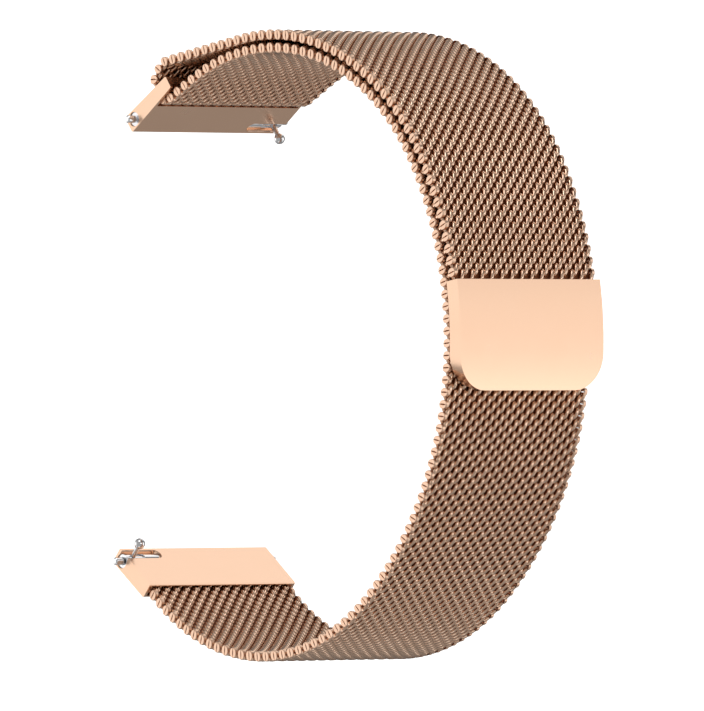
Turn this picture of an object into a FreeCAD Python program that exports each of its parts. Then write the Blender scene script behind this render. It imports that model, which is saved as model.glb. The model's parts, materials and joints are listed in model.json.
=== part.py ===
import FreeCAD, Part
import math
import os
import Sketcher

# A woven-mesh watch strap with a magnetic clasp and two quick-release spring bars.
#
# The strap stands on its far edge. Z is the width of the strap, and its lower end is the
# ends of the two spring bars. X runs from the watch side towards the clasp, Y from the
# lower connector towards the upper one. The woven band is laid out as one centre line in
# the XY plane: up from the lower connector, over the top, through the slot of the upper
# connector, round its crossbar and back down the outside to the clasp.

doc = FreeCAD.newDocument("MeshStrap")
sheet = doc.addObject("Spreadsheet::Sheet", "Sizes")
Z_AXIS = FreeCAD.Vector(0, 0, 1)

DRIVING_SIZES = [
    ("Widths along Z", None),
    ("connector_width", 21.8),
    ("tip_reach", 1.1),
    ("mesh_width", 21.0),
    ("clasp_width", 21.4),
    ("Woven mesh", None),
    ("mesh_thickness", 1.2),
    ("group_gap", 0.3),
    ("layer_pitch", 1.44),
    ("Centre line of the band", None),
    ("mouth_x", -22.36),
    ("mouth_y", -27.165),
    ("mouth_heading", -42.5),
    ("lower_radius", 26.0),
    ("lower_turn", 82.0),
    ("lower_groups", 5),
    ("side_radius", 37.0),
    ("side_low_turn", 37.5),
    ("side_low_groups", 3),
    ("side_high_turn", 45.0),
    ("side_high_groups", 4),
    ("top_radius", 26.5),
    ("top_turn", 87.5),
    ("top_groups", 5),
    ("fold_inner_run", 3.9),
    ("fold_inner_radius", 1.2),
    ("fold_slot_run", 1.2),
    ("fold_outer_radius", 1.2),
    ("fold_outer_turn", 75.0),
    ("fold_outer_run", 0.9),
    ("fold_release_radius", 1.8),
    ("flap_top_groups", 4),
    ("flap_side_groups", 2),
    ("Clasp", None),
    ("clasp_top_angle", 9.8),
    ("clasp_low_angle", 7.8),
    ("clasp_lift", 0.12),
    ("clasp_thickness", 1.7),
    ("clasp_wall", 0.45),
    ("clasp_front_wall", 0.3),
    ("clasp_corner_radius", 4.0),
    ("clasp_play", 0.05),
    ("back_plate_thickness", 0.25),
    ("plate_play", 0.02),
    ("clasp_end_length", 2.6),
    ("clasp_end_width", 20.4),
    ("clasp_end_thickness", 1.0),
    ("magnets", 3),
    ("magnet_width", 5.6),
    ("magnet_length", 5.6),
    ("magnet_thickness", 0.8),
    ("magnet_gap", 0.6),
    ("magnet_play", 0.2),
    ("Upper connector", None),
    ("upper_heading", 36.0),
    ("upper_length", 8.0),
    ("upper_pin_end", 1.1),
    ("upper_thick", 2.0),
    ("upper_thin", 1.5),
    ("cheek", 0.35),
    ("crossbar_width", 1.45),
    ("crossbar_inner_side", 0.25),
    ("crossbar_outer_side", 0.65),
    ("mesh_slot", 1.9),
    ("slot_run_depth", 0.1),
    ("Lower connector", None),
    ("lower_heading", -38.5),
    ("lower_length", 6.35),
    ("lower_pin_end", 1.1),
    ("lower_thick", 1.95),
    ("lower_thin", 1.85),
    ("mouth_gap", 0.2),
    ("channel_depth", 2.7),
    ("channel_height", 1.36),
    ("channel_end_play", 0.1),
    ("cross_pin_radius", 0.3),
    ("cross_pin_inset", 1.3),
    ("cross_pin_seat", 0.2),
    ("cross_pin_play", 0.01),
    ("Edges of the connectors", None),
    ("nose_chamfer", 0.45),
    ("edge_chamfer", 0.12),
    ("Spring bars", None),
    ("bar_bore_radius", 0.8),
    ("tube_radius", 0.75),
    ("tube_bore_radius", 0.6),
    ("tube_inset", 0.15),
    ("collar_length", 0.4),
    ("collar_bore_radius", 0.45),
    ("plunger_radius", 0.58),
    ("plunger_length", 3.6),
    ("tip_radius", 0.42),
    ("neck_radius", 0.25),
    ("tip_chamfer", 0.12),
    ("fixed_plug_radius", 0.59),
    ("fixed_plug_length", 2.0),
    ("lever_inset", 1.3),
    ("lever_radius", 0.3),
    ("lever_reach", 2.45),
    ("ball_radius", 0.62),
    ("knob_travel", 1.3),
    ("window_clearance", 0.05),
    ("lever_hole_play", 0.01),
    ("knob_slot_length", 5.3),
    ("knob_slot_width", 1.38),
    ("spring_outer_radius", 0.5),
    ("spring_inner_radius", 0.33),
    ("spring_end_gap", 0.1),
    ("Cutting forms", None),
    ("overcut", 1.0),
    ("overlap", 0.1),
]


def fill_sheet(rows):
    """Write each driving size in column B with its name in column A and as its alias."""
    for number, (name, amount) in enumerate(rows, start=1):
        sheet.set("A%d" % number, name)
        if amount is not None:
            sheet.set("B%d" % number, str(amount))
            sheet.setAlias("B%d" % number, name)
    doc.recompute()


fill_sheet(DRIVING_SIZES)


def worked_out(name, amount):
    """Add a size that follows from the others to the sheet, below the driving ones."""
    row = len(DRIVING_SIZES) + 2
    while sheet.getContents("A%d" % row):
        row += 1
    sheet.set("A%d" % row, name)
    sheet.set("B%d" % row, "%.6f" % amount)
    sheet.setAlias("B%d" % row, name)
    doc.recompute()


def size(expression):
    """The value of an expression written with the sheet's names."""
    answer = sheet.evalExpression(expression)
    return float(getattr(answer, "Value", answer))


def direction(heading):
    return FreeCAD.Vector(math.cos(math.radians(heading)), math.sin(math.radians(heading)), 0)


def left_of(heading):
    return direction(heading + 90)


# ---------------------------------------------------------------- sketches and features

def origin_plane(body, role):
    return next(item for item in body.Origin.OriginFeatures if item.Role == role)


def new_body(label):
    body = doc.addObject("PartDesign::Body", label)
    body.Label = label
    return body


def new_sketch(body, name, role="XY_Plane"):
    sketch = body.newObject("Sketcher::SketchObject", name)
    sketch.AttachmentSupport = [(origin_plane(body, role), "")]
    sketch.MapMode = "FlatFace"
    return sketch


def bind(sketch, kind, references, expression):
    """Add one dimension and tie it to the sheet."""
    index = sketch.addConstraint(Sketcher.Constraint(kind, *references, size(expression)))
    name = "size_%d" % index
    sketch.renameConstraint(index, name)
    sketch.setExpression(".Constraints." + name, expression)


def hold_point(sketch, edge, end, across, up):
    """Tie one end of an edge to its place, an axis taking the place of a zero dimension."""
    for kind, axis, expression in (("DistanceX", -2, across), ("DistanceY", -1, up)):
        if expression is None:
            continue
        if abs(size(expression)) < 1e-9:
            sketch.addConstraint(Sketcher.Constraint("PointOnObject", edge, end, axis))
        else:
            bind(sketch, kind, (-1, 1, edge, end), expression)


def join_ends(sketch, first, first_end, second, second_end):
    sketch.addConstraint(Sketcher.Constraint("Coincident", first, first_end, second, second_end))


def draw_outline(sketch, corners):
    """A closed outline of straight edges through corners given as pairs of expressions."""
    places = [FreeCAD.Vector(size(across), size(up), 0) for across, up in corners]
    count = len(places)
    edges = []
    for number in range(count):
        line = Part.LineSegment(places[number], places[(number + 1) % count])
        edges.append(sketch.addGeometry(line, False))
    for number, edge in enumerate(edges):
        join_ends(sketch, edge, 2, edges[(number + 1) % count], 1)
        hold_point(sketch, edge, 1, *corners[number])


def draw_sector(sketch, inner, outer, low, high):
    """A ring sector about the sketch's origin between two radii and two angles."""
    start, stop = math.radians(size(low)), math.radians(size(high))
    edges = []
    for radius in (inner, outer):
        circle = Part.Circle(FreeCAD.Vector(), Z_AXIS, size(radius))
        edge = sketch.addGeometry(Part.ArcOfCircle(circle, start, stop), False)
        sketch.addConstraint(Sketcher.Constraint("Coincident", edge, 3, -1, 1))
        place = "(%s) * %s((%s) * 1deg)"
        hold_point(sketch, edge, 1, place % (radius, "cos", low), place % (radius, "sin", low))
        hold_point(sketch, edge, 2, None, place % (radius, "sin", high))
        edges.append(edge)
    for end, angle in ((1, start), (2, stop)):
        ray = FreeCAD.Vector(math.cos(angle), math.sin(angle), 0)
        line = sketch.addGeometry(Part.LineSegment(ray * size(inner), ray * size(outer)), False)
        join_ends(sketch, line, 1, edges[0], end)
        join_ends(sketch, line, 2, edges[1], end)


def pad(body, sketch, length, reverse=False):
    feature = body.newObject("PartDesign::Pad", body.Label + "_pad")
    feature.Profile = sketch
    feature.setExpression("Length", length)
    feature.Reversed = reverse
    sketch.Visibility = False
    doc.recompute()
    return feature


def cut(body, sketch, depth, reverse=False):
    """A pocket that has to remove material."""
    before = body.Shape.Volume
    feature = body.newObject("PartDesign::Pocket", sketch.Name + "_cut")
    feature.Profile = sketch
    feature.setExpression("Length", depth)
    feature.Reversed = reverse
    sketch.Visibility = False
    doc.recompute()
    if body.Shape.Volume > before - 1e-6:
        raise RuntimeError(sketch.Name + " removes nothing")
    return feature


def revolve(body, sketch):
    """A full turn about the sketch's own vertical axis."""
    feature = body.newObject("PartDesign::Revolution", body.Label + "_turned")
    feature.Profile = sketch
    feature.ReferenceAxis = (sketch, ["V_Axis"])
    feature.Angle = 360
    sketch.Visibility = False
    doc.recompute()
    return feature


def soften(body, kind, size_property, chosen, expression):
    """A fillet or chamfer on the edges that a test picks out."""
    base = body.Tip
    names = ["Edge%d" % (n + 1) for n, edge in enumerate(base.Shape.Edges) if chosen(edge)]
    if not names:
        raise RuntimeError("no edge to soften on " + body.Label)
    feature = body.newObject("PartDesign::" + kind, body.Label + "_" + kind.lower())
    feature.Base = (base, names)
    feature.setExpression(size_property, expression)
    doc.recompute()
    return feature


def put(thing, place, heading, height):
    """Stand a sub-part at a point of the plan, turned to a heading, at a bound height."""
    turn = FreeCAD.Rotation(Z_AXIS, heading)
    thing.Placement = FreeCAD.Placement(FreeCAD.Vector(place.x, place.y, size(height)), turn)
    thing.setExpression("Placement.Base.z", height)


# ---------------------------------------------------------------- heights of the widths

MID_HEIGHT = "(Sizes.tip_reach + Sizes.connector_width / 2)"
CONNECTOR_LOW = "Sizes.tip_reach"
MESH_LOW = "(%s - Sizes.mesh_width / 2)" % MID_HEIGHT
CLASP_LOW = "(%s - Sizes.clasp_width / 2)" % MID_HEIGHT
HALF_MESH = "Sizes.mesh_thickness / 2"


# ---------------------------------------------------------------- woven band

def straight_group(label, start, heading, length):
    """A flat stretch of mesh, with half a gap left at both ends."""
    body = new_body(label)
    sketch = new_sketch(body, label + "_plan")
    near = "Sizes.group_gap / 2"
    far = "%s - Sizes.group_gap / 2" % length
    draw_outline(sketch, [(near, "-" + HALF_MESH), (far, "-" + HALF_MESH),
                          (far, HALF_MESH), (near, HALF_MESH)])
    pad(body, sketch, "Sizes.mesh_width")
    put(body, start, heading, MESH_LOW)
    return body


def curved_group(label, centre, radius, middle, sweep):
    """A bent stretch of mesh centred on one direction from its arc's centre."""
    body = new_body(label)
    sketch = new_sketch(body, label + "_plan")
    half = "((%s) / 2 - Sizes.group_gap / 2 / (%s) * 180 / pi)" % (sweep, radius)
    inner = "%s - %s" % (radius, HALF_MESH)
    outer = "%s + %s" % (radius, HALF_MESH)
    draw_sector(sketch, inner, outer, "-" + half, half)
    pad(body, sketch, "Sizes.mesh_width")
    put(body, centre, middle, MESH_LOW)
    return body


def curved_run(prefix, first, centre, radius, start, turn, count):
    """Equal groups round one arc. start is the direction of its first end, turn is signed."""
    sweep = "Sizes.%s / Sizes.%s" % (turn[0], count)
    step = turn[1] * size(sweep)
    for number in range(int(size("Sizes." + count))):
        middle = start + (number + 0.5) * step
        curved_group("%s_%d" % (prefix, first + number), centre, radius, middle, sweep)
    return start + int(size("Sizes." + count)) * step


mouth = FreeCAD.Vector(size("Sizes.mouth_x"), size("Sizes.mouth_y"), 0)
mouth_heading = size("Sizes.mouth_heading")

# Each arc of the inner layer bends to the left, so its centre is on the left of its heading
# and the direction from that centre to the arc is the heading less a right angle.
lower_centre = mouth + left_of(mouth_heading) * size("Sizes.lower_radius")
side_heading = mouth_heading + size("Sizes.lower_turn")
side_start = lower_centre - left_of(side_heading) * size("Sizes.lower_radius")
side_centre = side_start + left_of(side_heading) * size("Sizes.side_radius")
top_heading = side_heading + size("Sizes.side_low_turn + Sizes.side_high_turn")
top_start = side_centre - left_of(top_heading) * size("Sizes.side_radius")
top_centre = top_start + left_of(top_heading) * size("Sizes.top_radius")
fold_heading = top_heading + size("Sizes.top_turn")
fold_start = top_centre - left_of(fold_heading) * size("Sizes.top_radius")

curved_run("band_lower", 1, lower_centre, "Sizes.lower_radius", mouth_heading - 90,
           ("lower_turn", 1), "lower_groups")
low_end = curved_run("band_lower", 1 + int(size("Sizes.lower_groups")), side_centre,
                     "Sizes.side_radius", side_heading - 90, ("side_low_turn", 1),
                     "side_low_groups")
curved_run("band_main", 1, side_centre, "Sizes.side_radius", low_end,
           ("side_high_turn", 1), "side_high_groups")
curved_run("band_main", 1 + int(size("Sizes.side_high_groups")), top_centre,
           "Sizes.top_radius", top_heading - 90, ("top_turn", 1), "top_groups")

# The fold: under the crossbar, up through the slot and back over the crossbar. It bends to
# the right all the way, and leaves on the common tangent with the outer layer's top arc.
straight_group("band_fold_inner", fold_start, fold_heading, "Sizes.fold_inner_run")
turn_start = fold_start + direction(fold_heading) * size("Sizes.fold_inner_run")
slot_heading = size("Sizes.upper_heading") + 90
slot_turn = fold_heading - slot_heading
turn_centre = turn_start - left_of(fold_heading) * size("Sizes.fold_inner_radius")
slot_start = turn_centre + left_of(slot_heading) * size("Sizes.fold_inner_radius")
slot_end = slot_start + direction(slot_heading) * size("Sizes.fold_slot_run")
over_centre = slot_end - left_of(slot_heading) * size("Sizes.fold_outer_radius")
over_heading = slot_heading - size("Sizes.fold_outer_turn")
over_end = over_centre + left_of(over_heading) * size("Sizes.fold_outer_radius")
release_start = over_end + direction(over_heading) * size("Sizes.fold_outer_run")
release_centre = release_start - left_of(over_heading) * size("Sizes.fold_release_radius")
span = top_centre - release_centre
outer_top_radius = size("Sizes.top_radius + Sizes.layer_pitch")
lean = math.asin((size("Sizes.fold_release_radius") - outer_top_radius) / span.Length)
flap_heading = math.degrees(math.atan2(span.y, span.x) - lean)
release_end = release_centre + left_of(flap_heading) * size("Sizes.fold_release_radius")
flap_top_start = top_centre + left_of(flap_heading) * outer_top_radius


def ribbon(label, legs):
    """One solid of mesh along a short path of lines and right-hand arcs."""
    half = size(HALF_MESH)
    solids = []
    for leg in legs:
        if leg[0] == "line":
            _, start, heading, length = leg
            side = left_of(heading) * half
            ahead = direction(heading) * length
            plan = [start + side, start + side + ahead, start - side + ahead, start - side]
            face = Part.Face(Part.makePolygon(plan + plan[:1]))
            solids.append(face.extrude(Z_AXIS * size("Sizes.mesh_width")))
        else:
            _, centre, radius, heading, turn = leg
            ring = Part.makeCylinder(radius + half, size("Sizes.mesh_width"), centre, Z_AXIS, turn)
            hole = Part.makeCylinder(radius - half, size("Sizes.mesh_width"), centre, Z_AXIS, turn)
            sector = ring.cut(hole)
            sector.rotate(centre, Z_AXIS, heading + 90 - turn)
            solids.append(sector)
    shape = solids[0].multiFuse(solids[1:]).removeSplitter() if len(solids) > 1 else solids[0]
    feature = doc.addObject("Part::Feature", label)
    feature.Label = label
    feature.Shape = shape
    feature.Placement = FreeCAD.Placement(FreeCAD.Vector(0, 0, size(MESH_LOW)), FreeCAD.Rotation())
    return feature


gap_turn_in = math.degrees(size("Sizes.group_gap / Sizes.fold_inner_radius") / 2)
gap_turn_out = math.degrees(size("Sizes.group_gap / Sizes.fold_outer_radius") / 2)
ribbon("band_fold_turn", [
    ("arc", turn_centre, size("Sizes.fold_inner_radius"), fold_heading - gap_turn_in,
     slot_turn - gap_turn_in),
    ("line", slot_start, slot_heading, size("Sizes.fold_slot_run")),
    ("arc", over_centre, size("Sizes.fold_outer_radius"), slot_heading,
     size("Sizes.fold_outer_turn") - gap_turn_out),
])
gap_turn_release = math.degrees(size("Sizes.group_gap / Sizes.fold_release_radius") / 2)
ribbon("band_fold_outer", [
    ("line", over_end + direction(over_heading) * size("Sizes.group_gap / 2"), over_heading,
     size("Sizes.fold_outer_run - Sizes.group_gap / 2")),
    ("arc", release_centre, size("Sizes.fold_release_radius"), over_heading,
     over_heading - flap_heading - gap_turn_release),
])

# The outer layer: one straight run off the crossbar, then arcs that share their centres
# with the inner layer, down to the clasp.
flap_run = (flap_top_start - release_end).Length
worked_out("flap_run", flap_run)
worked_out("flap_top_turn", flap_heading - (top_heading - 180))
clasp_gap_turn = math.degrees(size("Sizes.mouth_gap / (Sizes.side_radius + Sizes.layer_pitch)"))
worked_out("flap_side_turn", top_heading - 90 - size("Sizes.clasp_top_angle") - clasp_gap_turn)
straight_group("band_flap_1", release_end, flap_heading, "Sizes.flap_run")
curved_run("band_flap", 2, top_centre, "Sizes.top_radius + Sizes.layer_pitch",
           flap_heading + 90, ("flap_top_turn", -1), "flap_top_groups")
curved_run("band_flap", 2 + int(size("Sizes.flap_top_groups")), side_centre,
           "Sizes.side_radius + Sizes.layer_pitch", top_heading - 90,
           ("flap_side_turn", -1), "flap_side_groups")


# ---------------------------------------------------------------- clasp

CLASP_INNER = "(Sizes.side_radius + %s + Sizes.clasp_lift)" % HALF_MESH
CLASP_OUTER = "(%s + Sizes.clasp_thickness)" % CLASP_INNER
CLASP_TURN = "(Sizes.clasp_top_angle + Sizes.clasp_low_angle)"


def arc_angle(length, radius):
    return "(%s / %s * 180 / pi)" % (length, radius)


def clasp_form(label, inner, outer, low, high, width, height, corner=None):
    """A curved plate about the side arc's centre, with its two lower corners rounded."""
    body = new_body(label)
    sketch = new_sketch(body, label + "_plan")
    draw_sector(sketch, inner, outer, low, high)
    pad(body, sketch, width)
    if corner:
        limit = math.radians(size(low)) + 0.01

        def on_lower_end(edge):
            ends = [vertex.Point for vertex in edge.Vertexes]
            if len(ends) != 2 or abs(ends[0].z - ends[1].z) > 1e-6:
                return False
            return all(math.atan2(end.y, end.x) < limit for end in ends)

        soften(body, "Fillet", "Radius", on_lower_end, corner)
    put(body, side_centre, 0, height)
    return body


LOW_ANGLE = "-Sizes.clasp_low_angle"
HIGH_ANGLE = "Sizes.clasp_top_angle"
WALL_ANGLE = arc_angle("Sizes.clasp_wall", CLASP_INNER)
INSIDE_LOW = "(%s + %s)" % (LOW_ANGLE, WALL_ANGLE)
INSIDE_WIDTH = "(Sizes.clasp_width - 2 * Sizes.clasp_wall)"
INSIDE_FLOOR = "(%s + Sizes.clasp_wall)" % CLASP_LOW
INSIDE_CORNER = "(Sizes.clasp_corner_radius - Sizes.clasp_wall)"
FRONT_INSIDE = "(%s - Sizes.clasp_front_wall)" % CLASP_OUTER

clasp_block = clasp_form("clasp_block", CLASP_INNER, CLASP_OUTER, LOW_ANGLE, HIGH_ANGLE,
                         "Sizes.clasp_width", CLASP_LOW, "Sizes.clasp_corner_radius")
clasp_cavity = clasp_form("clasp_cavity", CLASP_INNER + " - Sizes.overcut", FRONT_INSIDE,
                          INSIDE_LOW, "(%s + %s)" % (HIGH_ANGLE, arc_angle("Sizes.overcut", CLASP_INNER)),
                          INSIDE_WIDTH, INSIDE_FLOOR, INSIDE_CORNER)
clasp_shell = doc.addObject("Part::Cut", "clasp_shell")
clasp_shell.Base = clasp_block
clasp_shell.Tool = clasp_cavity

plate_angle = arc_angle("Sizes.plate_play", CLASP_INNER)
clasp_form("clasp_back_plate", CLASP_INNER, CLASP_INNER + " + Sizes.back_plate_thickness",
           "(%s + %s)" % (INSIDE_LOW, plate_angle), HIGH_ANGLE,
           "(%s - 2 * Sizes.plate_play)" % INSIDE_WIDTH,
           "(%s + Sizes.plate_play)" % INSIDE_FLOOR, INSIDE_CORNER)

end_middle = "(%s - Sizes.clasp_play - Sizes.clasp_end_thickness / 2)" % FRONT_INSIDE
end_angle = arc_angle("Sizes.clasp_end_length", CLASP_INNER)
clasp_form("band_clasp_end", "%s - Sizes.clasp_end_thickness / 2" % end_middle,
           "%s + Sizes.clasp_end_thickness / 2" % end_middle,
           "(%s - %s)" % (HIGH_ANGLE, end_angle), HIGH_ANGLE,
           "Sizes.clasp_end_width", "(%s - Sizes.clasp_end_width / 2)" % MID_HEIGHT)


def make_magnets():
    """Flat magnets side by side in the clasp, below the end of the band."""
    count = int(size("Sizes.magnets"))
    pitch = size("Sizes.magnet_width + Sizes.magnet_gap")
    radial = size("%s - Sizes.magnet_play - Sizes.magnet_thickness" % FRONT_INSIDE)
    middle = math.radians(size("(%s - %s - %s) / 2" % (HIGH_ANGLE, end_angle,
                                                      "Sizes.clasp_low_angle")))
    centre = side_centre + FreeCAD.Vector(math.cos(middle), math.sin(middle), 0) * radial
    blocks = []
    for number in range(count):
        block = doc.addObject("Part::Box", "magnet_%d" % (number + 1))
        block.setExpression("Length", "Sizes.magnet_thickness")
        block.setExpression("Width", "Sizes.magnet_length")
        block.setExpression("Height", "Sizes.magnet_width")
        height = size(MID_HEIGHT) + (number - (count - 1) / 2) * pitch
        corner = FreeCAD.Vector(0, -size("Sizes.magnet_length") / 2, -size("Sizes.magnet_width") / 2)
        turn = FreeCAD.Rotation(Z_AXIS, math.degrees(middle))
        base = FreeCAD.Vector(centre.x, centre.y, height) + turn.multVec(corner)
        block.Placement = FreeCAD.Placement(base, turn)
        blocks.append(block)
    group = doc.addObject("Part::Compound", "clasp_magnets")
    group.Links = blocks


make_magnets()


# ---------------------------------------------------------------- connectors

BETWEEN_CHEEKS = "(Sizes.connector_width - 2 * Sizes.cheek)"


def round_cut(body, name, radius, across, low, depth):
    """A round hole along the width, starting at a height above the connector's end plane."""
    sketch = new_sketch(body, name)
    sketch.setExpression("AttachmentOffset.Base.z", low)
    circle = Part.Circle(FreeCAD.Vector(size(across), 0, 0), Z_AXIS, size(radius))
    ring = sketch.addGeometry(circle, False)
    hold_point(sketch, ring, 3, across, "0")
    bind(sketch, "Radius", (ring,), radius)
    doc.recompute()
    return cut(body, sketch, depth, reverse=True)


def side_cut(body, name, corners):
    """A pocket with a side outline, between the two cheeks."""
    sketch = new_sketch(body, name)
    sketch.setExpression("AttachmentOffset.Base.z", "Sizes.cheek")
    draw_outline(sketch, corners)
    doc.recompute()
    return cut(body, sketch, BETWEEN_CHEEKS, reverse=True)


def connector_plate(label, inner, front, pin_end, thick, thin):
    """A tapered plate along X with the spring bar's bore on its origin.

    inner is the sign of the Y side that faces the wrist. The nose's other corner is cut off.
    """
    body = new_body(label)
    sketch = new_sketch(body, label + "_side")
    back, nose, edge = "-" + pin_end, "Sizes.nose_chamfer", "Sizes.edge_chamfer"
    wide, slim = thick + " / 2", thin + " / 2"
    inside, outside = ("", "-") if inner > 0 else ("-", "")

    def level(side, height, step):
        return "%s(%s - %s)" % (side, height, step)

    draw_outline(sketch, [
        ("%s + %s" % (back, edge), inside + wide), ("%s - %s" % (front, edge), inside + slim),
        (front, level(inside, slim, edge)), (front, level(outside, slim, edge)),
        ("%s - %s" % (front, edge), outside + slim), ("%s + %s" % (back, nose), outside + wide),
        (back, level(outside, wide, nose)), (back, level(inside, wide, edge)),
    ])
    pad(body, sketch, "Sizes.connector_width")
    round_cut(body, label + "_bore", "Sizes.bar_bore_radius", "0", "0", "Sizes.connector_width")
    return body


def knob_slot(body, inner, at_top, thick):
    """The window in the inner face, open at one end plane, that the knob travels in."""
    sketch = new_sketch(body, body.Label + "_knob_slot", "XZ_Plane")
    half = "Sizes.knob_slot_width / 2"
    if at_top:
        open_end, start = "(Sizes.connector_width + Sizes.overcut)", math.pi
        inside = "(Sizes.connector_width - Sizes.knob_slot_length + %s)" % half
    else:
        open_end, start = "-Sizes.overcut", 0
        inside = "(Sizes.knob_slot_length - %s)" % half
    circle = Part.Circle(FreeCAD.Vector(0, size(inside), 0), Z_AXIS, size(half))
    arc = sketch.addGeometry(Part.ArcOfCircle(circle, start, start + math.pi), False)
    ends = [sketch.getPoint(arc, 1), sketch.getPoint(arc, 2)]
    corners = [FreeCAD.Vector(end.x, size(open_end), 0) for end in ends]
    first = sketch.addGeometry(Part.LineSegment(ends[0], corners[0]), False)
    across = sketch.addGeometry(Part.LineSegment(corners[0], corners[1]), False)
    last = sketch.addGeometry(Part.LineSegment(corners[1], ends[1]), False)
    join_ends(sketch, arc, 1, first, 1)
    join_ends(sketch, first, 2, across, 1)
    join_ends(sketch, across, 2, last, 1)
    join_ends(sketch, last, 2, arc, 2)
    signs = ["-" if end.x < 0 else "" for end in ends]
    hold_point(sketch, arc, 3, "0", inside)
    hold_point(sketch, arc, 1, signs[0] + half, inside)
    hold_point(sketch, arc, 2, None, inside)
    hold_point(sketch, first, 2, signs[0] + half, open_end)
    hold_point(sketch, last, 1, signs[1] + half, open_end)
    cut(body, sketch, thick, reverse=inner < 0)
    depth = size("Sizes.lower_thin") / 2 * inner
    height = size("Sizes.lever_inset")
    probe = FreeCAD.Vector(0, depth, size("Sizes.connector_width") - height if at_top else height)
    if body.Shape.isInside(probe, 1e-6, True):
        raise RuntimeError("the knob slot opens on the wrong face of " + body.Label)


def make_upper_connector():
    """A plate with a slot for the folded band and a thinner crossbar at its band end."""
    front = "(Sizes.upper_length - Sizes.upper_pin_end)"
    body = connector_plate("upper_connector", -1, front, "Sizes.upper_pin_end",
                           "Sizes.upper_thick", "Sizes.upper_thin")
    beyond = front + " + Sizes.overcut"
    slot_far = "(%s - Sizes.crossbar_width)" % front
    slot_near = "(%s - Sizes.mesh_slot)" % slot_far
    high = "Sizes.upper_thick"
    side_cut(body, "upper_mesh_slot", [(slot_near, "-" + high), (slot_far, "-" + high),
                                       (slot_far, high), (slot_near, high)])
    near = slot_far + " - Sizes.overlap"
    for side, sign in (("inner", "-"), ("outer", "")):
        bar = "%sSizes.crossbar_%s_side" % (sign, side)
        side_cut(body, "crossbar_%s_relief" % side, [(near, bar), (beyond, bar),
                                                     (beyond, sign + high), (near, sign + high)])
    knob_slot(body, -1, False, "Sizes.upper_thick")
    heading = size("Sizes.upper_heading")
    slot_middle = size("(%s + %s) / 2" % (slot_near, slot_far))
    place = slot_start - direction(heading) * slot_middle + left_of(heading) * size("Sizes.slot_run_depth")
    put(body, place, heading, CONNECTOR_LOW)
    crossbar = place + direction(heading) * size("(%s + %s) / 2" % (slot_far, front))
    return place, crossbar


def make_lower_connector():
    """A plate with a channel in its band end, where a cross pin holds the mesh."""
    front = "(Sizes.lower_length - Sizes.lower_pin_end)"
    body = connector_plate("lower_connector", 1, front, "Sizes.lower_pin_end",
                           "Sizes.lower_thick", "Sizes.lower_thin")
    beyond = front + " + Sizes.overcut"
    floor = "(%s - Sizes.channel_depth)" % front
    half = "Sizes.channel_height / 2"
    pin_place = "(%s - Sizes.cross_pin_inset)" % front
    pin_hole = "(Sizes.cross_pin_radius + Sizes.cross_pin_play)"
    pin_low = "(Sizes.cheek - Sizes.cross_pin_seat)"
    pin_length = "(%s + 2 * Sizes.cross_pin_seat)" % BETWEEN_CHEEKS
    side_cut(body, "mesh_channel", [(floor, "-" + half), (beyond, "-" + half), (beyond, half),
                                    (floor, half)])
    round_cut(body, "cross_pin_hole", pin_hole, pin_place, pin_low, pin_length)
    knob_slot(body, 1, True, "Sizes.lower_thick")
    heading = size("Sizes.lower_heading")
    place = mouth - direction(heading) * size("%s + Sizes.mouth_gap" % front)
    put(body, place, heading, CONNECTOR_LOW)

    tab = new_body("band_lower_end")
    end = floor + " + Sizes.channel_end_play"
    sketch = new_sketch(tab, "band_lower_end_plan")
    draw_outline(sketch, [(end, "-" + HALF_MESH), (front, "-" + HALF_MESH),
                          (front, HALF_MESH), (end, HALF_MESH)])
    hole = Part.Circle(FreeCAD.Vector(size(pin_place), 0, 0), Z_AXIS, size(pin_hole))
    ring = sketch.addGeometry(hole, False)
    hold_point(sketch, ring, 3, pin_place, "0")
    bind(sketch, "Radius", (ring,), pin_hole)
    pad(tab, sketch, "Sizes.mesh_width")
    put(tab, place, heading, MESH_LOW)

    pin = doc.addObject("Part::Cylinder", "lower_cross_pin")
    pin.setExpression("Radius", "Sizes.cross_pin_radius")
    pin.setExpression("Height", pin_length)
    put(pin, place + direction(heading) * size(pin_place), 0,
        "(%s + %s)" % (CONNECTOR_LOW, pin_low))
    return place


upper_axis, crossbar_axis = make_upper_connector()
lower_axis = make_lower_connector()


# ---------------------------------------------------------------- spring bars

BAR_END = "(Sizes.connector_width - Sizes.tube_inset)"
COLLAR = "(%s - Sizes.collar_length)" % BAR_END
SHOULDER = "(%s - Sizes.window_clearance)" % COLLAR
PLUG_END = "(Sizes.tube_inset + Sizes.fixed_plug_length)"
LEVER_HEIGHT = "(Sizes.connector_width - Sizes.lever_inset)"
LEVER_HOLE = "(Sizes.lever_radius + Sizes.window_clearance)"


def turned_piece(label, profile):
    body = new_body(label)
    sketch = new_sketch(body, label + "_profile", "XZ_Plane")
    draw_outline(sketch, profile)
    revolve(body, sketch)
    return body


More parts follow.
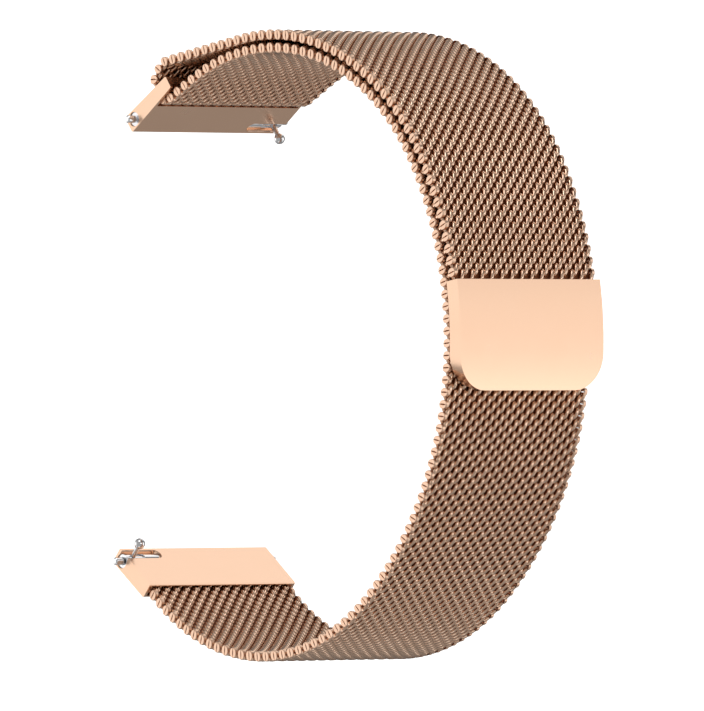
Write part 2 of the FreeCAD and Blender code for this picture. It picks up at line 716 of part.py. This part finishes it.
def make_tube(label):
    """The bar's tube: a collar keeps the plunger in, and a window lets the lever out."""
    body = turned_piece(label, [
        ("Sizes.tube_bore_radius", "Sizes.tube_inset"), ("Sizes.tube_radius", "Sizes.tube_inset"),
        ("Sizes.tube_radius", BAR_END), ("Sizes.collar_bore_radius", BAR_END),
        ("Sizes.collar_bore_radius", COLLAR), ("Sizes.tube_bore_radius", COLLAR),
    ])
    sketch = new_sketch(body, label + "_window", "YZ_Plane")
    low = "(%s - Sizes.knob_travel - %s)" % (LEVER_HEIGHT, LEVER_HOLE)
    high = "(%s + %s)" % (LEVER_HEIGHT, LEVER_HOLE)
    draw_outline(sketch, [("-" + LEVER_HOLE, low), (LEVER_HOLE, low), (LEVER_HOLE, high),
                          ("-" + LEVER_HOLE, high)])
    cut(body, sketch, "Sizes.tube_radius + Sizes.overcut", reverse=True)
    wall = size("(Sizes.tube_radius + Sizes.tube_bore_radius) / 2")
    if body.Shape.isInside(FreeCAD.Vector(wall, 0, size(LEVER_HEIGHT)), 1e-6, True):
        raise RuntimeError("the lever window opens on the wrong side of " + label)
    return body


def make_fixed_tip(label):
    return turned_piece(label, [
        ("0", "-Sizes.tip_reach"), ("Sizes.tip_radius - Sizes.tip_chamfer", "-Sizes.tip_reach"),
        ("Sizes.tip_radius", "-Sizes.tip_reach + Sizes.tip_chamfer"), ("Sizes.tip_radius", "0"),
        ("Sizes.neck_radius", "0"), ("Sizes.neck_radius", "Sizes.tube_inset"),
        ("Sizes.fixed_plug_radius", "Sizes.tube_inset"),
        ("Sizes.fixed_plug_radius", PLUG_END), ("0", PLUG_END),
    ])


def make_plunger(label):
    """The sliding tip: a shoulder behind the collar, and a cross hole for the lever."""
    start = "(%s - Sizes.plunger_length)" % SHOULDER
    end = "(Sizes.connector_width + Sizes.tip_reach)"
    body = turned_piece(label, [
        ("0", start), ("Sizes.plunger_radius", start), ("Sizes.plunger_radius", SHOULDER),
        ("Sizes.neck_radius", SHOULDER), ("Sizes.neck_radius", "Sizes.connector_width"),
        ("Sizes.tip_radius", "Sizes.connector_width"),
        ("Sizes.tip_radius", end + " - Sizes.tip_chamfer"),
        ("Sizes.tip_radius - Sizes.tip_chamfer", end), ("0", end),
    ])
    sketch = new_sketch(body, label + "_lever_hole", "YZ_Plane")
    place = FreeCAD.Vector(0, size(LEVER_HEIGHT), 0)
    radius = "(Sizes.lever_radius + Sizes.lever_hole_play)"
    ring = sketch.addGeometry(Part.Circle(place, Z_AXIS, size(radius)), False)
    hold_point(sketch, ring, 3, "0", LEVER_HEIGHT)
    bind(sketch, "Radius", (ring,), radius)
    cut(body, sketch, "Sizes.plunger_radius + Sizes.overcut", reverse=True)
    return body


def make_lever(label):
    """The lever and its ball knob, along its own Z from the plunger's middle."""
    body = new_body(label)
    sketch = new_sketch(body, label + "_profile", "XZ_Plane")
    neck = "(Sizes.lever_reach - sqrt(Sizes.ball_radius ^ 2 - Sizes.lever_radius ^ 2))"
    top = "(Sizes.lever_reach + Sizes.ball_radius)"
    foot = FreeCAD.Vector()
    foot_edge = FreeCAD.Vector(size("Sizes.lever_radius"), 0, 0)
    neck_edge = FreeCAD.Vector(size("Sizes.lever_radius"), size(neck), 0)
    crown = FreeCAD.Vector(0, size(top), 0)
    ball = Part.Circle(FreeCAD.Vector(0, size("Sizes.lever_reach"), 0), Z_AXIS,
                       size("Sizes.ball_radius"))
    start = math.atan2(neck_edge.y - size("Sizes.lever_reach"), neck_edge.x)
    shapes = [Part.LineSegment(foot, foot_edge), Part.LineSegment(foot_edge, neck_edge),
              Part.ArcOfCircle(ball, start, math.pi / 2), Part.LineSegment(crown, foot)]
    edges = [sketch.addGeometry(shape, False) for shape in shapes]
    for number, edge in enumerate(edges):
        join_ends(sketch, edge, 2, edges[(number + 1) % len(edges)], 1)
    hold_point(sketch, edges[0], 1, "0", "0")
    hold_point(sketch, edges[1], 1, "Sizes.lever_radius", "0")
    hold_point(sketch, edges[2], 3, "0", "Sizes.lever_reach")
    hold_point(sketch, edges[2], 1, "Sizes.lever_radius", neck)
    hold_point(sketch, edges[3], 1, "0", None)
    revolve(body, sketch)
    return body


def make_spring(label):
    """The envelope of the coil spring between the fixed plug and the plunger."""
    low = "(%s + Sizes.spring_end_gap)" % PLUG_END
    high = "(%s - Sizes.plunger_length - Sizes.spring_end_gap)" % SHOULDER
    inner, outer = "Sizes.spring_inner_radius", "Sizes.spring_outer_radius"
    return turned_piece(label, [(inner, low), (outer, low), (outer, high), (inner, high)])


def make_spring_bar(prefix, axis, inner_heading, knob_at_top):
    """One bar: built upwards with its lever along X, then turned over if the knob is below."""
    turn = FreeCAD.Rotation(Z_AXIS, inner_heading)
    height = size(CONNECTOR_LOW)
    if not knob_at_top:
        turn = turn.multiply(FreeCAD.Rotation(FreeCAD.Vector(1, 0, 0), 180))
        height = size("%s + Sizes.connector_width" % CONNECTOR_LOW)
    frame = FreeCAD.Placement(FreeCAD.Vector(axis.x, axis.y, height), turn)
    makers = (("tube", make_tube), ("fixed_tip", make_fixed_tip), ("plunger", make_plunger),
              ("spring", make_spring))
    for name, maker in makers:
        maker("%s_bar_%s" % (prefix, name)).Placement = frame
    outward = FreeCAD.Rotation(FreeCAD.Vector(0, 1, 0), 90)
    base = FreeCAD.Placement(FreeCAD.Vector(0, 0, size(LEVER_HEIGHT)), outward)
    make_lever("%s_bar_lever" % prefix).Placement = frame.multiply(base)


make_spring_bar("lower", lower_axis, size("Sizes.lower_heading") + 90, knob_at_top=True)
make_spring_bar("upper", upper_axis, size("Sizes.upper_heading") - 90, knob_at_top=False)


# ---------------------------------------------------------------- check and export

doc.recompute()
for item in doc.Objects:
    if "Invalid" in item.State or "Error" in item.State:
        raise RuntimeError("%s is %s" % (item.Label, item.State))

WORKING_FORMS = ("clasp_block", "clasp_cavity")
EXPORTED_TYPES = ("PartDesign::Body", "Part::Feature", "Part::Cut", "Part::Compound")
nodes = [item for item in doc.Objects
         if item.TypeId in EXPORTED_TYPES and item.Label not in WORKING_FORMS]
nodes.append(doc.getObject("lower_cross_pin"))
os.makedirs("parts", exist_ok=True)
for item in nodes:
    if item.Shape.isNull() or not item.Shape.isValid() or not item.Shape.Solids:
        raise RuntimeError(item.Label + " has no valid solid")
whole = FreeCAD.BoundBox()
for item in nodes:
    item.Shape.exportStep("parts/%s.step" % item.Label)
    whole.add(item.Shape.BoundBox)
print(len(nodes), "nodes, box", whole)
print("hinge line of the lower connector", tuple(mouth), "crossbar", tuple(crossbar_axis))
print("spring bar axes", tuple(lower_axis), tuple(upper_axis))
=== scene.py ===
"""Looks of a woven metal watch strap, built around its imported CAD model.

The strap's own sizes are in millimetres up to new_piece(). Floor, lamps and camera are in metres.
"""

import json
import math

import bpy
import numpy as np
from mathutils import Matrix, Vector


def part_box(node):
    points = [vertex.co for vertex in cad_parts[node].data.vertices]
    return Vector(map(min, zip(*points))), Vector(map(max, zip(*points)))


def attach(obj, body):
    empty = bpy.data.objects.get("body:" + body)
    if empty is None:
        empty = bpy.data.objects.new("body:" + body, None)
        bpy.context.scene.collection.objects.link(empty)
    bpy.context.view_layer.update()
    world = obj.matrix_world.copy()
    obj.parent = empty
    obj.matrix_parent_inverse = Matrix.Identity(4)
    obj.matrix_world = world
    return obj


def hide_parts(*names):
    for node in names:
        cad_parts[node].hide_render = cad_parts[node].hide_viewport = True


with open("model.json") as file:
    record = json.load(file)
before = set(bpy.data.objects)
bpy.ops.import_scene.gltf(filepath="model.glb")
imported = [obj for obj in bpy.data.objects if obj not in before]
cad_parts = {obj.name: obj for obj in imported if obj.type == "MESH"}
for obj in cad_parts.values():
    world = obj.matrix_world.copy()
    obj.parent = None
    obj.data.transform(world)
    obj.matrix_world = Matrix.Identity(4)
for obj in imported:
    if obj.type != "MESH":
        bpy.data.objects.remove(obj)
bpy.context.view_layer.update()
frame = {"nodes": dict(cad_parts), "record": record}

MM = 0.001
NODES = frame["nodes"]
BODIES = frame["record"]["behaviour"]["bodies"]
JOINTS = {joint["name"]: joint for joint in frame["record"]["behaviour"]["joints"]}
BODY_OF = {node: body for body, nodes in BODIES.items() for node in nodes}

# ---------------------------------------------------------------- the strap's centre line

MOUTH_HEADING = -42.5
MOUTH = Vector(JOINTS["lower_connector_swing"]["pos_m"]) / MM
MOUTH_WAY = Vector((math.cos(math.radians(MOUTH_HEADING)), math.sin(math.radians(MOUTH_HEADING)), 0))


def depth_behind_mouth(thing):
    """How far a node reaches back from the lower connector's mouth."""
    return -min((thing.matrix_world @ spot.co / MM - MOUTH).dot(MOUTH_WAY) for spot in thing.data.vertices)


END_LENGTH = depth_behind_mouth(NODES["band_lower_end"])
LAYER_PITCH = 1.44
LOWER_RADIUS, LOWER_TURN = 26.0, 82.0
SIDE_RADIUS, SIDE_LOW_TURN, SIDE_HIGH_TURN = 37.0, 37.5, 45.0
TOP_RADIUS, TOP_TURN = 26.5, 87.5
SLOT_RUN = 3.9
FOLD_RADIUS, FOLD_INNER_TURN, FOLD_OUTER_TURN = 1.2, -83.5, -75.0
FOLD_FLAT = 1.2
FOLD_RUN = 0.9
LIFT_RADIUS, LIFT_TURN = 1.8, -40.465
FLAP_STRAIGHT = 12.132
FLAP_TOP_TURN, FLAP_SIDE_TURN = -68.535, -21.902


def slabs(stem, first, last):
    return ["%s_%d" % (stem, n) for n in range(first, last + 1)]


# (length if straight or else radius, left turn in degrees, the CAD nodes that share it equally)
RUNS = [
    (END_LENGTH, 0.0, ["band_lower_end"]),
    (LOWER_RADIUS, LOWER_TURN, slabs("band_lower", 1, 5)),
    (SIDE_RADIUS, SIDE_LOW_TURN, slabs("band_lower", 6, 8)),
    (SIDE_RADIUS, SIDE_HIGH_TURN, slabs("band_main", 1, 4)),
    (TOP_RADIUS, TOP_TURN, slabs("band_main", 5, 9)),
    (SLOT_RUN, 0.0, ["band_fold_inner"]),
    (FOLD_RADIUS, FOLD_INNER_TURN, ["band_fold_turn"]),
    (FOLD_FLAT, 0.0, ["band_fold_turn"]),
    (FOLD_RADIUS, FOLD_OUTER_TURN, ["band_fold_turn"]),
    (FOLD_RUN, 0.0, ["band_fold_outer"]),
    (LIFT_RADIUS, LIFT_TURN, ["band_fold_outer"]),
    (FLAP_STRAIGHT, 0.0, slabs("band_flap", 1, 1)),
    (TOP_RADIUS + LAYER_PITCH, FLAP_TOP_TURN, slabs("band_flap", 2, 5)),
    (SIDE_RADIUS + LAYER_PITCH, FLAP_SIDE_TURN, slabs("band_flap", 6, 7)),
]


def walk(start, heading, runs):
    """The runs laid end to end: their starts and bends, each node's stretch, and the whole length."""
    x, y = start
    along, stretches, laid = 0.0, {}, []
    for size, turn, nodes in runs:
        angle = math.radians(turn)
        length = abs(size * angle) if turn else size
        laid.append((along, x, y, heading, angle / length))
        chord = length * np.sinc(angle / 2 / math.pi)
        x += chord * math.cos(heading + angle / 2)
        y += chord * math.sin(heading + angle / 2)
        heading += angle
        for n, name in enumerate(nodes):
            low, high = along + length * n / len(nodes), along + length * (n + 1) / len(nodes)
            stretches[name] = (stretches[name][0] if name in stretches else low, high)
        along += length
    return np.array(laid), stretches, along


LAID, STRETCH, TOTAL = walk((MOUTH - END_LENGTH * MOUTH_WAY).xy, math.radians(MOUTH_HEADING), RUNS)


def on_line(along, offset):
    """X and Y of points at a distance along the centre line and an offset to its right."""
    run = np.clip(np.searchsorted(LAID[:, 0], along, side="right") - 1, 0, len(LAID) - 1)
    start, x, y, heading, bend = LAID[run].T
    t = along - start
    chord = t * np.sinc(bend * t / 2 / math.pi)
    middle = heading + bend * t / 2
    end = heading + bend * t
    px = x + chord * np.cos(middle) + offset * np.sin(end)
    py = y + chord * np.sin(middle) - offset * np.cos(end)
    return px, py


def mapped(points, along):
    """Points given as (along, offset, height), bent round the centre line from a distance along it."""
    px, py = on_line(along + points[:, 0], points[:, 1])
    return np.stack([px, py, points[:, 2]], 1)


# ---------------------------------------------------------------- the woven wire

MESH_LOW, MESH_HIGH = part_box("band_main_1")[0][2] / MM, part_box("band_main_1")[1][2] / MM
NEAR_ROW_PITCH = 0.665
ROW_PITCH = TOTAL / round(TOTAL / NEAR_ROW_PITCH)
WIRE_PITCH = 1.49
WIRE_RADIUS = 0.245
WIRE_SIDES = 6
COIL_HALF_WIDTH = 0.6
COIL_HALF_DEPTH = 0.345
COIL_INSET = 0.3
COIL_ROUNDNESS = 0.8
TURN_STEPS = 14


def rings_to_faces(rings, corners):
    """The quads between one ring of points and the next."""
    a = np.arange((rings - 1) * corners)
    following = a - a % corners + (a + 1) % corners
    return np.stack([a, following, following + corners, a + corners], 1)


def squared(wave):
    return np.sign(wave) * np.abs(wave) ** COIL_ROUNDNESS


def coil(stagger):
    """One flattened wire coil across the strap: its tube's points, as (along, offset, height), and faces."""
    low, high = MESH_LOW + COIL_INSET, MESH_HIGH - COIL_INSET
    steps = int((high - low) / WIRE_PITCH * TURN_STEPS)
    z = np.linspace(low, high, steps)
    phase = (z - stagger) / WIRE_PITCH * 2 * math.pi
    across, through = squared(np.cos(phase)), squared(np.sin(phase))
    line = np.stack([COIL_HALF_WIDTH * across, COIL_HALF_DEPTH * through, z], 1)
    tangent = np.gradient(line, axis=0)
    tangent /= np.linalg.norm(tangent, axis=1)[:, None]
    out = np.stack([np.cos(phase), np.sin(phase), np.zeros(steps)], 1)
    out -= (out * tangent).sum(1)[:, None] * tangent
    out /= np.linalg.norm(out, axis=1)[:, None]
    side = np.cross(tangent, out)
    angle = np.arange(WIRE_SIDES) / WIRE_SIDES * 2 * math.pi
    ring = np.cos(angle)[None, :, None] * out[:, None] + np.sin(angle)[None, :, None] * side[:, None]
    points = (line[:, None] + WIRE_RADIUS * ring).reshape(-1, 3)
    return points, rings_to_faces(steps, WIRE_SIDES)


BEAD_HALF_WIDTH = 0.5
BEAD_HALF_HEIGHT = 0.58
BEAD_DEPTH = 0.42
BEAD_RIM = 0.09
BEAD_FULLNESS = 0.8
BEAD_MIDDLE = 0.45 * BEAD_HALF_WIDTH
ROUND_POINTS, SLIT_POINTS = 9, 5
SLIT_HALF_WIDTH = 0.06
SLIT_HALF_LENGTH = 0.5
SLIT_NARROWEST = 0.06
SLIT_TILT = 0.12
# (how much of the rim a ring is drawn in by, how far it lies under the bead's face)
BEAD_RINGS = ((0.0, BEAD_DEPTH), (0.0, BEAD_RIM), (0.3, 0.3 * BEAD_RIM), (1.0, 0.0))


def half_bead(side, top):
    """Half of a soldered, flat-ground bead at the strap's edge, as (along, offset, height), and its faces."""
    turn = np.linspace(math.pi / 2, -math.pi / 2, ROUND_POINTS)
    bulge = BEAD_HALF_WIDTH * np.cos(turn) ** BEAD_FULLNESS
    outer = np.stack([bulge, BEAD_HALF_HEIGHT * np.sin(turn)], 1)
    v = np.linspace(-1, 1, SLIT_POINTS + 2)[1:-1] * BEAD_HALF_HEIGHT
    gap = SLIT_HALF_WIDTH * np.clip(1 - (v / SLIT_HALF_LENGTH) ** 2, SLIT_NARROWEST, 1)
    outline = np.concatenate([outer, np.stack([gap, v], 1)])
    middle = np.array([[BEAD_MIDDLE, 0.0]])
    sign = 1 if top else -1
    edge = MESH_HIGH if top else MESH_LOW
    rings = []
    for inset, drop in BEAD_RINGS:
        scale = 1 - inset * BEAD_RIM / BEAD_HALF_HEIGHT
        ring = middle + (outline - middle) * scale
        rings.append(np.column_stack([ring, np.full(len(ring), edge - sign * drop)]))
    points = np.concatenate(rings)
    points[:, 0] *= side
    points[:, 0] += SLIT_TILT * points[:, 1]
    faces = rings_to_faces(len(rings), len(outline))
    cap = np.arange(len(points) - len(outline), len(points))
    if side * sign < 0:
        faces, cap = faces[:, ::-1], cap[::-1]
    return points, faces.tolist() + [cap.tolist()]


# A thin dark sheet along the weave's centre line: painted shade that darkens the holes between the wires.
SHADE_SHEET_THICKNESS = 0.1
SHADE_SHEET_INSET = 0.5
SHADE_SHEET_STEP = 0.4


def shade_sheet(low, high):
    """A thin dark sheet on the centre line, painted shade for the inside of the weave: its points and faces.
    """
    along = np.linspace(low, high, math.ceil((high - low) / SHADE_SHEET_STEP) + 1)
    half = SHADE_SHEET_THICKNESS / 2
    bottom, top = MESH_LOW + SHADE_SHEET_INSET, MESH_HIGH - SHADE_SHEET_INSET
    ring = [(half, bottom), (half, top), (-half, top), (-half, bottom)]
    points = np.array([(a, offset, height) for a in along for offset, height in ring])
    faces = rings_to_faces(len(along), len(ring))[:, ::-1]
    last = len(points) - 1
    return points, faces.tolist() + [[0, 1, 2, 3], [last, last - 1, last - 2, last - 3]]


def new_piece(name, points, faces, materials, indices):
    mesh = bpy.data.meshes.new(name)
    mesh.from_pydata((points * MM).tolist(), [], faces)
    for material in materials:
        mesh.materials.append(material)
    mesh.polygons.foreach_set("material_index", indices)
    mesh.polygons.foreach_set("use_smooth", [index == WIRE_INDEX for index in indices])
    piece = bpy.data.objects.new(name, mesh)
    bpy.context.scene.collection.objects.link(piece)
    return piece


# ---------------------------------------------------------------- materials

RAMP_LOW, RAMP_HIGH = 0.3, 0.7
COLOUR_DETAIL, SCRATCH_DETAIL = 4.0, 3.0
SCRATCH_SCALE = 4000.0
SCRATCH_DEPTH = 0.00002


def add_node(tree, kind, **values):
    made = tree.nodes.new(kind)
    for name, value in values.items():
        setattr(made, name, value)
    return made


def noise(tree, place, scale, detail):
    made = add_node(tree, "ShaderNodeTexNoise")
    made.inputs["Scale"].default_value = scale
    made.inputs["Detail"].default_value = detail
    tree.links.new(place.outputs["Object"], made.inputs["Vector"])
    return made


def metal(name, light, dark, rough, rough_spread, scale, bump):
    """A plated metal whose colour and roughness drift a little, with fine scratches as bump."""
    material = bpy.data.materials.new(name)
    material.use_nodes = True
    tree = material.node_tree
    shader = tree.nodes["Principled BSDF"]
    shader.inputs["Metallic"].default_value = 1.0
    place = add_node(tree, "ShaderNodeTexCoord")
    drift = noise(tree, place, scale, COLOUR_DETAIL)
    ramp = add_node(tree, "ShaderNodeValToRGB")
    ramp.color_ramp.elements[0].position = RAMP_LOW
    ramp.color_ramp.elements[0].color = (*dark, 1)
    ramp.color_ramp.elements[1].position = RAMP_HIGH
    ramp.color_ramp.elements[1].color = (*light, 1)
    tree.links.new(drift.outputs["Fac"], ramp.inputs["Fac"])
    tree.links.new(ramp.outputs["Color"], shader.inputs["Base Color"])
    spread = add_node(tree, "ShaderNodeMapRange")
    spread.inputs["To Min"].default_value = rough - rough_spread
    spread.inputs["To Max"].default_value = rough + rough_spread
    tree.links.new(drift.outputs["Fac"], spread.inputs["Value"])
    tree.links.new(spread.outputs["Result"], shader.inputs["Roughness"])
    scratches = noise(tree, place, SCRATCH_SCALE, SCRATCH_DETAIL)
    lift = add_node(tree, "ShaderNodeBump")
    lift.inputs["Strength"].default_value = bump
    lift.inputs["Distance"].default_value = SCRATCH_DEPTH
    tree.links.new(scratches.outputs["Fac"], lift.inputs["Height"])
    tree.links.new(lift.outputs["Normal"], shader.inputs["Normal"])
    return material


# Each: name, light and dark colour, roughness and its spread, scale of the drift, strength of the scratches.
WIRE = metal("rose_gold_wire", (0.95, 0.67, 0.50), (0.88, 0.59, 0.42), 0.2, 0.04, 900.0, 0.2)
CUT = metal("rose_gold_ground_edge", (0.975, 0.67, 0.49), (0.94, 0.63, 0.45), 0.36, 0.05, 1500.0, 0.3)
# Below, the dark inside of the weave is painted shade: a dark colour for the sheet seen through the weave's
# holes.
SHADE = metal("painted_shade_weave_inside", (0.34, 0.13, 0.065), (0.24, 0.09, 0.04), 0.6, 0.05, 900.0, 0.2)
SATIN = metal("rose_gold_satin", (0.975, 0.655, 0.465), (0.955, 0.635, 0.447), 0.26, 0.03, 300.0, 0.15)
PLATE = metal("rose_gold_plain", (0.93, 0.62, 0.44), (0.90, 0.59, 0.41), 0.36, 0.04, 300.0, 0.1)
STEEL = metal("polished_steel", (0.97, 0.97, 0.98), (0.90, 0.90, 0.92), 0.16, 0.04, 700.0, 0.1)
PIN = metal("drawn_steel", (0.7, 0.7, 0.72), (0.62, 0.62, 0.64), 0.3, 0.05, 900.0, 0.2)
MAGNET = metal("nickel_magnet", (0.55, 0.55, 0.56), (0.45, 0.45, 0.46), 0.38, 0.06, 600.0, 0.3)
SPRING = metal("spring_wire", (0.6, 0.6, 0.62), (0.5, 0.5, 0.53), 0.34, 0.05, 900.0, 0.2)
FINISH = {"mesh": WIRE, "connector": SATIN, "clasp": SATIN, "back_plate": PLATE, "magnet": MAGNET,
          "bar_steel": STEEL, "pin_steel": PIN, "spring_wire": SPRING}
WEAVE_MATERIALS = [WIRE, CUT, SHADE]
WIRE_INDEX, CUT_INDEX, SHADE_INDEX = 0, 1, 2

# ---------------------------------------------------------------- pieces

coils = [coil(0.0), coil(WIRE_PITCH / 2)]
beads = {(side, top): half_bead(side, top) for side in (-1, 1) for top in (True, False)}
rows = ROW_PITCH * (np.arange(round(TOTAL / ROW_PITCH)) + 0.5)


class Heap:
    """Parts of one mesh, gathered with the material index of each face."""

    def __init__(self):
        self.points, self.faces, self.indices, self.count = [], [], [], 0

    def add(self, points, faces, index):
        self.points.append(points)
        self.faces += [[corner + self.count for corner in face] for face in faces]
        self.indices += [index] * len(faces)
        self.count += len(points)


for name, (low, high) in STRETCH.items():
    heap = Heap()
    numbers = np.flatnonzero((rows >= low) & (rows < high))
    for number in numbers:
        tube, skin = coils[number % 2]
        heap.add(mapped(tube, rows[number]), skin.tolist(), WIRE_INDEX)
    for number in numbers:
        side = 1 if number % 2 else -1
        centre = rows[number] - side * ROW_PITCH / 2
        for top in (True, False):
            bean, skin = beads[side, top]
            heap.add(mapped(bean, centre), skin, CUT_INDEX)
    # The dark sheet of painted shade inside the weave.
    sheet, skin = shade_sheet(low, high)
    heap.add(mapped(sheet, 0.0), skin, SHADE_INDEX)
    points = np.concatenate(heap.points)
    piece = new_piece("weave_" + name, points, heap.faces, WEAVE_MATERIALS, heap.indices)
    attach(piece, BODY_OF[name])
    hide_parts(name)

SLOT_OF = {part["node"]: part["material_slot"] for part in frame["record"]["subparts"]}
for name, thing in NODES.items():
    if name in STRETCH:
        continue
    thing.data.materials.clear()
    thing.data.materials.append(FINISH[SLOT_OF[name]])

# ---------------------------------------------------------------- floor, light and camera

FLOOR_SIZE = 3.0
FLOOR_GREY = 0.9
FLOOR_ROUGHNESS = 0.9
FLOOR_GLOW = 1.0


def floor():
    mesh = bpy.data.meshes.new("floor")
    half = FLOOR_SIZE / 2
    corners = [(-half, -half, 0), (half, -half, 0), (half, half, 0), (-half, half, 0)]
    mesh.from_pydata(corners, [], [(0, 1, 2, 3)])
    plane = bpy.data.objects.new("floor", mesh)
    bpy.context.scene.collection.objects.link(plane)
    material = bpy.data.materials.new("pale_floor")
    material.use_nodes = True
    shader = material.node_tree.nodes["Principled BSDF"]
    shader.inputs["Base Color"].default_value = (FLOOR_GREY, FLOOR_GREY, FLOOR_GREY, 1)
    shader.inputs["Roughness"].default_value = FLOOR_ROUGHNESS
    shader.inputs["Emission Color"].default_value = (1, 1, 1, 1)
    shader.inputs["Emission Strength"].default_value = FLOOR_GLOW
    mesh.materials.append(material)
    plane.visible_glossy = False


LAMP_DISTANCE = 0.5
LAMP_TARGET = (0, 0, 0.012)
# (name, the way to the lamp, its two sides, its radiance)
LAMPS = [
    ("key_above", (0.25, 0.9, 0.4), (0.2, 0.3), 2.2),
    ("front", (0.95, 0.1, 0.1), (0.12, 0.3), 2.0),
    ("low_fill", (0.1, -0.9, 0.35), (0.12, 0.2), 1.2),
]


def area_light(name, direction, size, radiance):
    lamp = bpy.data.lights.new(name, "AREA")
    lamp.shape = "RECTANGLE"
    lamp.size, lamp.size_y = size
    lamp.energy = radiance * math.pi * size[0] * size[1]
    thing = bpy.data.objects.new(name, lamp)
    bpy.context.scene.collection.objects.link(thing)
    toward = Vector(direction).normalized()
    thing.location = Vector(LAMP_TARGET) + toward * LAMP_DISTANCE
    thing.rotation_euler = toward.to_track_quat("Z", "Y").to_euler()


# (the way to the softbox, the half angles of its even middle and of its faded rim in degrees, its brightness)
SOFTBOXES = [
    ((0.73, 0.0, -0.68), 16.0, 28.0, 0.91),
    ((-0.16, 0.71, -0.68), 14.0, 26.0, 0.92),
    ((-0.73, 0.0, 0.68), 20.0, 34.0, 0.74),
    ((-0.225, -0.70, -0.68), 10.0, 22.0, 0.14),
    ((0.56, -0.46, -0.68), 10.0, 26.0, 0.58),
    ((-0.98, 0.0, -0.1), 22.0, 38.0, 0.45),
]
STUDIO_LOW, STUDIO_HIGH = 0.17, 0.36
GRADIENT_START, GRADIENT_END = -0.9, 0.6
STUDIO_TINT = (1.0, 0.99, 0.98, 1)


def faded(tree, value, start, end, low, high):
    """A value that rises smoothly from low at start to high at end."""
    made = add_node(tree, "ShaderNodeMapRange", interpolation_type="SMOOTHSTEP")
    made.inputs["From Min"].default_value = start
    made.inputs["From Max"].default_value = end
    made.inputs["To Min"].default_value = low
    made.inputs["To Max"].default_value = high
    tree.links.new(value, made.inputs["Value"])
    return made.outputs["Result"]


def studio_world():
    """A dim room, lighter above, with large soft lights round the strap."""
    made = bpy.data.worlds.new("studio")
    made.use_nodes = True
    tree = made.node_tree
    background = tree.nodes["Background"]
    place = add_node(tree, "ShaderNodeTexCoord")
    split = add_node(tree, "ShaderNodeSeparateXYZ")
    tree.links.new(place.outputs["Generated"], split.inputs["Vector"])
    total = faded(tree, split.outputs["Z"], GRADIENT_START, GRADIENT_END, STUDIO_LOW, STUDIO_HIGH)
    for way, middle, rim, brightness in SOFTBOXES:
        aim = add_node(tree, "ShaderNodeVectorMath", operation="DOT_PRODUCT")
        aim.inputs[1].default_value = Vector(way).normalized()
        tree.links.new(place.outputs["Generated"], aim.inputs[0])
        outer, inner = math.cos(math.radians(rim)), math.cos(math.radians(middle))
        added = add_node(tree, "ShaderNodeMath", operation="ADD")
        tree.links.new(total, added.inputs[0])
        tree.links.new(faded(tree, aim.outputs["Value"], outer, inner, 0.0, brightness), added.inputs[1])
        total = added.outputs[0]
    tree.links.new(total, background.inputs["Strength"])
    background.inputs["Color"].default_value = STUDIO_TINT
    bpy.context.scene.world = made


CAMERA_ELEVATION = 43.0
CAMERA_LENS = 800.0
CAMERA_CLIP_END = 100.0
SENSOR = 36.0
FRAME_HEIGHT = 0.07796
CAMERA_TARGET = (-0.00112, -0.00108, 0.01192)


def camera():
    data = bpy.data.cameras.new("camera")
    data.lens = CAMERA_LENS
    data.sensor_width = SENSOR
    data.clip_end = CAMERA_CLIP_END
    thing = bpy.data.objects.new("camera", data)
    bpy.context.scene.collection.objects.link(thing)
    tilt = math.radians(CAMERA_ELEVATION)
    toward = Vector((math.cos(tilt), 0, math.sin(tilt)))
    up = Vector((0, 1, 0))
    right = up.cross(toward)
    distance = FRAME_HEIGHT * CAMERA_LENS / SENSOR
    turn = Matrix((right, up, toward)).transposed().to_4x4()
    thing.matrix_world = Matrix.Translation(Vector(CAMERA_TARGET) + toward * distance) @ turn
    bpy.context.scene.camera = thing


floor()
studio_world()
bpy.context.scene.view_settings.view_transform = "Standard"
for lamp in LAMPS:
    area_light(*lamp)
camera()
